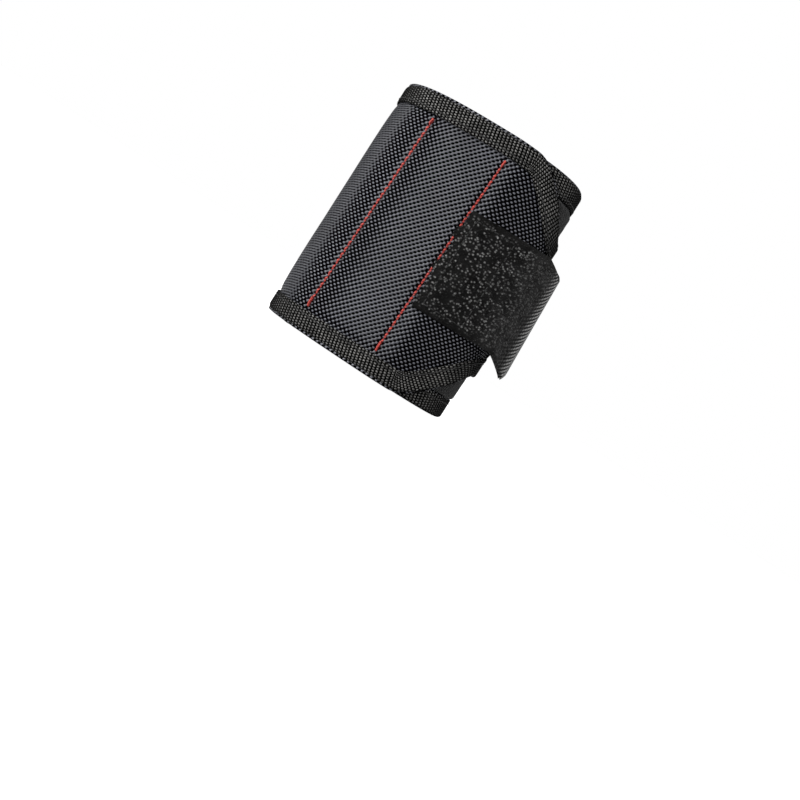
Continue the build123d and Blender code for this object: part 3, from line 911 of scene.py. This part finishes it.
def binding_section(thickness):
    """The folded tape's section: rows of (share of its width from the fold, lift, distance across it)."""
    half = thickness / 2 + PLAY + BINDING
    nose, width = min(half, 2.0), BINDING_WIDTH
    arc = np.linspace(-math.pi / 2, math.pi / 2, 11)
    outside = [(nose - nose * math.cos(a), thickness / 2 + half * math.sin(a)) for a in arc]
    top, under = thickness + PLAY + BINDING, thickness + PLAY
    groove = (6.0, top - 0.14), (6.5, top - 0.02), (7.1, top)  # pressed in by the stitches
    upper = [(w, top) for w in np.linspace(nose, 5.4, 5)[1:]]
    upper += [*groove, (width, top - 0.12), (width, under + 0.05)]
    beneath = [(w, under) for w in (7.3, 4.5, nose)]
    thin = half - BINDING
    arc = arc[-3:0:-2]
    inside = [(nose - (nose - 0.4) * math.cos(a), thickness / 2 + thin * math.sin(a)) for a in arc]
    lower_inside = [(w, -0.05) for w in (nose, 4.5, 7.3)]
    bottom = [(width, -0.1), (width, -0.38), (7.1, -0.5), (6.5, -0.48), (6.0, -0.36)]
    bottom += [(w, -0.5) for w in np.linspace(5.4, nose, 4)[:-1]]
    section = np.array(outside + upper + beneath + inside + lower_inside + bottom)
    return np.column_stack([section[:, 0] / width, section[:, 1], distances(section)])


def binding_grid(edge, inner, walked):
    """The tape's surface round the whole edge, as (points, coordinates, normals)."""
    thickness = body_lift(edge[:, 0])
    sections = np.stack([binding_section(t) for t in thickness])
    flat = edge[:, None] + (inner - edge)[:, None] * sections[..., :1]
    lift = sections[..., 1] + 0.06 * ripple(flat[..., 0] + flat[..., 1], sections[..., 1], 2.2, 33)
    lift += (body_lift(flat[..., 0]) - thickness[:, None]) * (sections[..., 1] > thickness[:, None])
    points = on_band(flat[..., 0], lift, flat[..., 1])
    coordinates = paired(walked[:, None], sections[..., 2])
    looped = np.concatenate([points[-2:], points, points[:2]])
    return points, coordinates, surface_normals(looped, True)[2:-2]


def binding_cuts(edge):
    """Rows of the edge where the zones meet, in order: each meeting place is passed twice."""
    below = np.arange(len(edge)) < np.argmax(edge[:, 0] >= BAND_LENGTH - 0.5)
    cuts = []
    for middle in MIDDLES:
        distance = np.abs(edge[:, 0] - middle)
        for side in (below, ~below):
            cuts.append(int(np.argmin(np.where(side, distance, 1e9))))
    return sorted(cuts)


def make_binding():
    """The tape sewn round the whole edge, cut where the zones meet."""
    edge, inner = band_outline(0.0), band_outline(BINDING_WIDTH)
    walked = distances(edge)
    around = float(walked[-1] + np.linalg.norm(edge[0] - edge[-1]))
    uneven = sum(depth * (1 + ripple(walked, 0, scale, seed)) for depth, scale, seed in BINDING_WAVER)
    edge = edge + unit(inner - edge) * uneven[:, None]
    points, coordinates, normals = binding_grid(edge, inner, walked)
    cuts, size = binding_cuts(edge), len(points)
    names = ["hand_binding"] * 4 + ["binding"] + ["arm_binding"] * 4 + ["binding"]
    zones = [ZONES[i] for i in (1, 2, 3, 4, 5, 4, 3, 2, 1, 0)]
    for first, last, name, zone in zip(cuts, cuts[1:] + [cuts[0] + size], names, zones):
        row = np.arange(first, last + 1)
        chosen = row % size
        piece = Piece(f"{name}_{zone.name}")
        distance = coordinates[chosen].copy()
        distance[row >= size, :, 0] += around
        piece.grid(points[chosen], distance, WEBBING, normals=normals[chosen])
        sew_binding(piece, edge[chosen], inner[chosen])
        zone.place(name, piece, "binding_webbing")


def sew_binding(piece, edge, inner):
    """Black stitches along the tape's inner edge, through to the wrist side."""
    line = edge + (inner - edge) * BINDING_STITCHED
    length = distances(line)
    at = np.linspace(0, length[-1], max(2, round(length[-1] / BINDING_STITCH)) + 1)
    along, z = (np.interp(at, length, line[:, k]) for k in (0, 1))
    up = level(wrap_normal(along + PLAIN_END))
    sew(piece, on_band(along, body_lift(along) + PLAY + BINDING - 0.1, z), up, 0.2 * MM, BLACK)
    sew(piece, on_band(along, -0.40, z), -up, 0.2 * MM, BLACK)


# ---- the strap ----
STRAP_START = TAB_SEAM + 0.6
SEWN_END = STRAP_START + STRAP_SEWN_LENGTH
TAPE_STEP, TAPE_POINTS = 0.5, 60  # the distance between its rows of points, and the points in half a row
SELVEDGE_ROUND = 0.45  # how far in from its long edges the tape is rounded off
FRAYED_ENDS = 46  # loose yarns at each cut end
SEWN_INSET = 2.6  # how far in from the sewn end's four sides its stitches run
STRAP_FOLD_REACH = 9.0, 7.0  # how far past the strap's root, and to each side of its second fold, each piece's hold reaches


def turned(vector, angle):
    c, s = math.cos(angle), math.sin(angle)
    return np.array([vector[0] * c - vector[1] * s, vector[0] * s + vector[1] * c])


def strap_path():
    """The strap's inner face in plan, from cut end to free end: points, outward normals, rise and lean."""
    sewn = np.linspace(STRAP_START, SEWN_END, 60) + PLAIN_END
    sewn_lift = body_lift(sewn - PLAIN_END) + 0.12
    sewn_points = wrap_point(sewn) + wrap_normal(sewn) * sewn_lift[:, None]
    grip = np.linspace(STRAP_LANDING, STRAP_LANDING + STRAP_GRIP_LENGTH, 40) + PLAIN_END
    grip_points = wrap_point(grip) + wrap_normal(grip) * GRIP_LIFT
    leave, land = sewn_points[-1], grip_points[0]
    leave_normal, land_normal = wrap_normal(sewn[-1]), wrap_normal(grip[0])
    forward = turned(np.array([-leave_normal[1], leave_normal[0]]), -STRAP_LIFT_OFF)
    onward = np.array([-land_normal[1], land_normal[0]])
    t = np.linspace(0, 1, 140)[1:-1, None]
    out = leave + forward * STRAP_BOW_HANDLE[0]
    back = land - onward * STRAP_BOW_HANDLE[1]
    bow = leave * (1 - t) ** 3 + out * 3 * t * (1 - t) ** 2 + back * 3 * t * t * (1 - t) + land * t**3
    points = np.concatenate([sewn_points, bow, grip_points])
    step = unit(np.gradient(points, axis=0))
    normals = paired(step[:, 1], -step[:, 0])
    free = np.concatenate([0 * sewn, t[:, 0], 1 + np.linspace(0, GRIPPED_SHARE, len(grip))])
    lean = STRAP_LEAN * np.sin(np.clip(free, 0, 1) * math.pi) ** 2
    return points, normals, STRAP_RISE * smooth(free / (1 + GRIPPED_SHARE)), lean


STRAP_POINTS, STRAP_NORMALS, STRAP_CLIMB, STRAP_TILT = strap_path()
STRAP_WALKED = distances(STRAP_POINTS)
STRAP_SLANT = np.hypot(1, np.gradient(STRAP_CLIMB, STRAP_WALKED))


def strap_place(walked, lift, z):
    """Points in metres on the strap: walked along it, lifted outward, z measured up from its lower edge."""
    walked, lift, z = np.broadcast_arrays(walked, lift, z)

    def read(values):
        return np.interp(walked, STRAP_WALKED, values)

    above = z / STRAP_WIDTH * 2 - 1
    lift = lift - read(STRAP_TILT) * above
    forward = STRAP_POINTS[1] - STRAP_POINTS[0]
    before = np.minimum(walked, 0) / STRAP_WALKED[1]
    x, y = (
        read(STRAP_POINTS[:, k]) + read(STRAP_NORMALS[:, k]) * lift + forward[k] * before for k in (0, 1)
    )
    places, lower, upper = STRAP_SETTLES
    settle = np.interp(walked, places, lower) * (1 - above) / 2
    settle = settle + np.interp(walked, places, upper) * (1 + above) / 2
    height = MID + read(STRAP_CLIMB) + STRAP_WIDTH / 2 * above * read(STRAP_SLANT) + settle
    return np.stack([x, y, height], -1) * MM


def cut_reach(z):
    """How far the strap's cut edge stands out over the seam, at heights above its lower edge."""
    reach = z * 0
    for middle, half in CUT_TUFTS:
        off = (z - STRAP_WIDTH / 2 - middle) / half
        reach = reach + CUT_REACH * np.clip(2 - 2 * off * off, 0, 1)
    return reach


def tape_grid(first, last, inner, outer):
    """A length of tape with rounded edges, as (distances walked, points, coordinates)."""
    walked = np.append(np.arange(first, last, TAPE_STEP), last)
    share = np.linspace(0, 1, TAPE_POINTS)
    from_edge = np.minimum(share, 1 - share) * STRAP_WIDTH / SELVEDGE_ROUND
    bulge = np.sqrt(np.clip(1 - (1 - np.clip(from_edge, 0, 1)) ** 2, 0, 1))
    round_off = (outer - inner) / 2 * (1 - bulge)
    selvedge = 0.10 * ripple(walked, 0, 2.6, 41)
    z = share[None] * STRAP_WIDTH + (share[None] - 0.5) * 2 * selvedge[:, None]
    along = walked[:, None] - cut_reach(z) * np.clip(1 - walked[:, None] / 2.5, 0, 1)
    front = strap_place(along, outer - round_off, z)
    back = strap_place(along, inner + round_off, z)
    coordinates = paired(along, share * STRAP_WIDTH)
    points = np.concatenate([front, back[:, ::-1]], 1)
    return walked, points, np.concatenate([coordinates, coordinates[:, ::-1]], 1)


def close_tape(piece, ring, coordinates, finish, first):
    """The thin face of a cut end, rung by rung between the tape's two sides."""
    half = len(ring) // 2
    sides = np.stack([ring[:half], ring[half:][::-1]])
    piece.grid(sides[::-1] if first else sides, np.stack([coordinates[:half]] * 2), finish, wrap=False)


def fray(piece, walked, sign, seed):
    """Loose yarn ends along a cut edge of the strap."""
    random = np.random.default_rng(seed)
    normal = np.array([*STRAP_NORMALS[0 if sign < 0 else -1], 0.0])
    forward = np.cross([0, 0, 1.0], normal)
    t = np.linspace(0, 1, 5)
    up, side = np.repeat(normal[None], 5, 0), np.repeat([[0, 0, 1.0]], 5, 0)
    for _ in range(FRAYED_ENDS):
        z = random.uniform(0.8, STRAP_WIDTH - 0.8)
        length = random.uniform(0.5, 1.7)
        drift, rise = random.uniform(-0.5, 0.5), random.uniform(-0.1, 0.45)
        centres = strap_place(walked, 0.45 + rise * t, z + drift * t * t)
        centres = centres + forward * (sign * (t[:, None] * length - 0.3)) * MM
        coordinates = paired(t[:, None] * length + np.zeros(SIDES), 0.0)
        rings = tube(centres, 0.09 * MM * (1 - 0.6 * t), up, side)
        piece.grid(rings, coordinates, BLACK, caps=(True, True))


def sew_strap(piece, walked, z):
    """A row of black stitches on the strap, where either of walked and z may be a single number."""
    walked, z = np.broadcast_arrays(walked, z)
    normal = paired(*(np.interp(walked, STRAP_WALKED, STRAP_NORMALS[:, k]) for k in (0, 1)))
    sew(piece, strap_place(walked, STRAP_TAPE - 0.12, z), level(normal), 0.22 * MM, BLACK)


def make_layer(name, slot, finish, nodes, grid, cut_at, holds):
    """A layer of the strap in two pieces, cut at a place along it."""
    walked, points, coordinates = grid
    normals = surface_normals(points, True)
    cut = int(np.argmin(np.abs(walked - cut_at)))
    parts = ("root", slice(0, cut + 1), 0), ("tip", slice(cut, None), -1)
    for (part, chosen, end), replaced, (bodies, start_walked, end_walked) in zip(parts, nodes, holds):
        piece = Piece(f"strap_{part}_{name}")
        piece.grid(points[chosen], coordinates[chosen], finish, normals=normals[chosen])
        close_tape(piece, points[end], coordinates[end], finish, end == 0)
        if name == "tape":
            fray(piece, walked[end], -1 if end == 0 else 1, 51 if end == 0 else 52)
        built = place(piece, slot, *replaced)
        start, stop = (strap_place(w, 0.0, STRAP_WIDTH / 2) for w in (start_walked, end_walked))
        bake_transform(built)


def make_strap():
    """The closing strap: sewn on the tab, bowed clear of it, and pressed on the loop panel."""
    root, end = STRAP_SEWN_LENGTH, STRAP_WALKED[-1]
    to_fold = np.linalg.norm(STRAP_POINTS - fold_of("strap_tip_peel"), axis=1)
    fold = float(STRAP_WALKED[np.argmin(to_fold)])
    cut_at = (root + fold) / 2 + 4
    beyond, beside = STRAP_FOLD_REACH
    holds = (
        (("tab", "strap_root"), root, root + beyond),
        (("strap_root", "strap_tip"), fold - beside, fold + beside),
    )
    grid = tape_grid(0.0, end, 0.0, STRAP_TAPE)
    nodes = ("strap_sewn_tape", "strap_bow_tape"), ("strap_tip_tape",)
    make_layer("tape", "strap_tape", TAPE, nodes, grid, cut_at, holds)

    stitching = Piece("strap_thread")
    z = np.linspace(SEWN_INSET, STRAP_WIDTH - SEWN_INSET, 15)
    walk = np.linspace(SEWN_INSET, root - SEWN_INSET, 8)
    for walked in (SEWN_INSET, root - SEWN_INSET):
        sew_strap(stitching, walked, z)
    for edge in (SEWN_INSET, STRAP_WIDTH - SEWN_INSET):
        sew_strap(stitching, walk, edge)
    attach(place(stitching, "black_thread", "strap_thread"), "tab")

    grid = tape_grid(root + HOOKS_START, end - HOOKS_SHORT, -0.05 - STRAP_HOOKS, -0.05)
    nodes = ("strap_bow_hooks",), ("strap_tip_hooks",)
    make_layer("hooks", "hook_pile", HOOKS, nodes, grid, cut_at, holds)


# ---- the pieces that the frame already shapes well ----
def dress_frame():
    """The foam pads and the magnets keep their CAD shapes and take real finishes."""
    for name, node in frame["nodes"].items():
        finish = FOAM if name.startswith("pad") else METAL if name.startswith("magnets") else None
        if finish:
            for slot in node.material_slots:
                slot.material = finish


# ---- stage ----
def pale_floor():
    """Plain white card that looks evenly lit all the way to the horizon."""
    finish = Finish("floor", "object")
    seen = finish.tree.nodes.new("ShaderNodeLightPath").outputs["Is Camera Ray"]
    white = (1, 1, 1, 1)
    finish.set(Emission_Color=white, Emission_Strength=Signal(finish.tree, seen))
    finish.set(Base_Color=(0.8, 0.8, 0.8, 1), Roughness=0.9, Specular_IOR_Level=0.1)
    return finish.material


def make_floor():
    size, drop = 40.0, -0.0002
    mesh = bpy.data.meshes.new("floor")
    corners = [(-size, -size, drop), (size, -size, drop), (size, size, drop), (-size, size, drop)]
    mesh.from_pydata(corners, [], [(0, 1, 2, 3)])
    mesh.materials.append(pale_floor())
    added("floor", mesh)


def make_world():
    """Soft surrounding light, seen by the camera as plain white."""
    world = bpy.data.worlds.new("studio")
    bpy.context.scene.world = world
    world.use_nodes = True
    tree = world.node_tree
    light, seen = tree.nodes["Background"], tree.nodes.new("ShaderNodeBackground")
    for background, strength in ((light, 0.22), (seen, 1.0)):
        background.inputs["Color"].default_value = (1, 1, 1, 1)
        background.inputs["Strength"].default_value = strength
    path = tree.nodes.new("ShaderNodeLightPath")
    mix = tree.nodes.new("ShaderNodeMixShader")
    tree.links.new(path.outputs["Is Camera Ray"], mix.inputs[0])
    tree.links.new(light.outputs[0], mix.inputs[1])
    tree.links.new(seen.outputs[0], mix.inputs[2])
    tree.links.new(mix.outputs[0], tree.nodes["World Output"].inputs[0])


CENTRE = Vector((0, 0, MID * MM))


def softbox(name, azimuth, elevation, distance, size, watts):
    light = bpy.data.lights.new(name, "AREA")
    light.shape = "RECTANGLE"
    light.size, light.size_y = size
    light.energy = watts
    lamp = added(name, light)
    towards = direction(azimuth, elevation)
    lamp.location = CENTRE + towards * distance
    lamp.rotation_euler = (-towards).to_track_quat("-Z", "Y").to_euler()


def make_camera():
    """The camera looks at the pockets with the forearm's end of the cuff up and to the right."""
    azimuth, elevation, roll = 9.2, 3.6, math.radians(33.0)
    distance, aside, above = 0.3435, 0.0098, 0.0494
    back = direction(azimuth, elevation)
    level = Vector((math.cos(math.radians(azimuth)), math.sin(math.radians(azimuth)), 0))
    upright = level.cross(-back)
    right = level * math.cos(roll) + upright * math.sin(roll)
    up = upright * math.cos(roll) - level * math.sin(roll)
    camera = added("camera", bpy.data.cameras.new("camera"))
    camera.data.lens = 44.85
    camera.data.clip_start, camera.data.clip_end = 0.01, 100
    spot = CENTRE + back * distance - right * aside - up * above
    turn = Matrix((right, up, back)).transposed()
    camera.matrix_world = Matrix.Translation(spot) @ turn.to_4x4()
    bpy.context.scene.camera = camera


make_cloth()
for number, (seam, zone) in enumerate(zip(SEAMS, ZONES[2:]), start=1):
    make_seam(number, seam, zone)
make_binding()
make_strap()
dress_frame()
make_floor()
make_world()
softbox("key", -28, 14, 0.9, (0.35, 0.9), 12.0)
softbox("side", -85, 16, 0.9, (0.6, 0.9), 3.2)
softbox("fill", 40, 40, 1.2, (0.8, 0.8), 2.5)
softbox("rim", 118, 5, 0.9, (0.4, 0.9), 3.0)
make_camera()
bpy.context.scene.view_settings.view_transform = "Standard"
